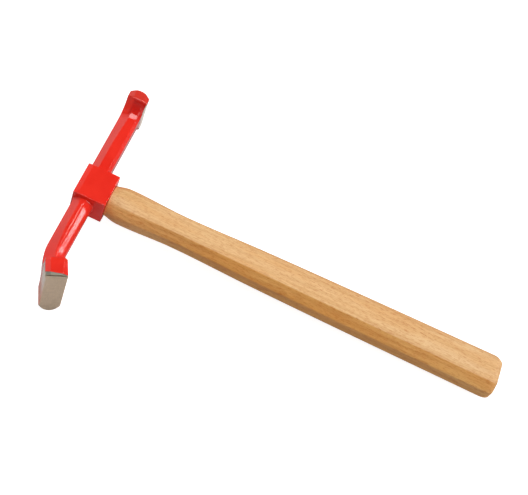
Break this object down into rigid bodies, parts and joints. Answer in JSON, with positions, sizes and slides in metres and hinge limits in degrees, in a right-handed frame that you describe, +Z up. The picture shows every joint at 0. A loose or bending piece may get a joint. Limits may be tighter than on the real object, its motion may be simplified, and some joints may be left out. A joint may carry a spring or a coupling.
{
  "type": "chipping hammer",
  "caption": "Long-armed two-ended steel hammer with wide cross ends, one bent towards the hand, wedged onto an eight-sided hickory handle.",
  "frame": {"origin": "on the surface the hammer lies on, below the middle of its bounding box", "axes": "+Z up with the hammer lying on its side; +X from the head towards the butt, +Y from the bent end towards the straight end. The handle's own axis runs within 2 degrees of +X, because the tool rests on its two wide ends and the butt."},
  "size_m": [0.3245, 0.1762, 0.0505],
  "materials": {
    "head_paint": "gloss red enamel over forged steel, ground bare on the working faces",
    "handle_wood": "clear lacquered hickory",
    "wedge_wood": "sawn end grain",
    "wedge_steel": "plain steel"
  },
  "bodies": {
    "root": {"head": "head_paint", "handle": "handle_wood", "wooden_wedge": "wedge_wood", "steel_wedge": "wedge_steel"}
  },
  "joints": []
}
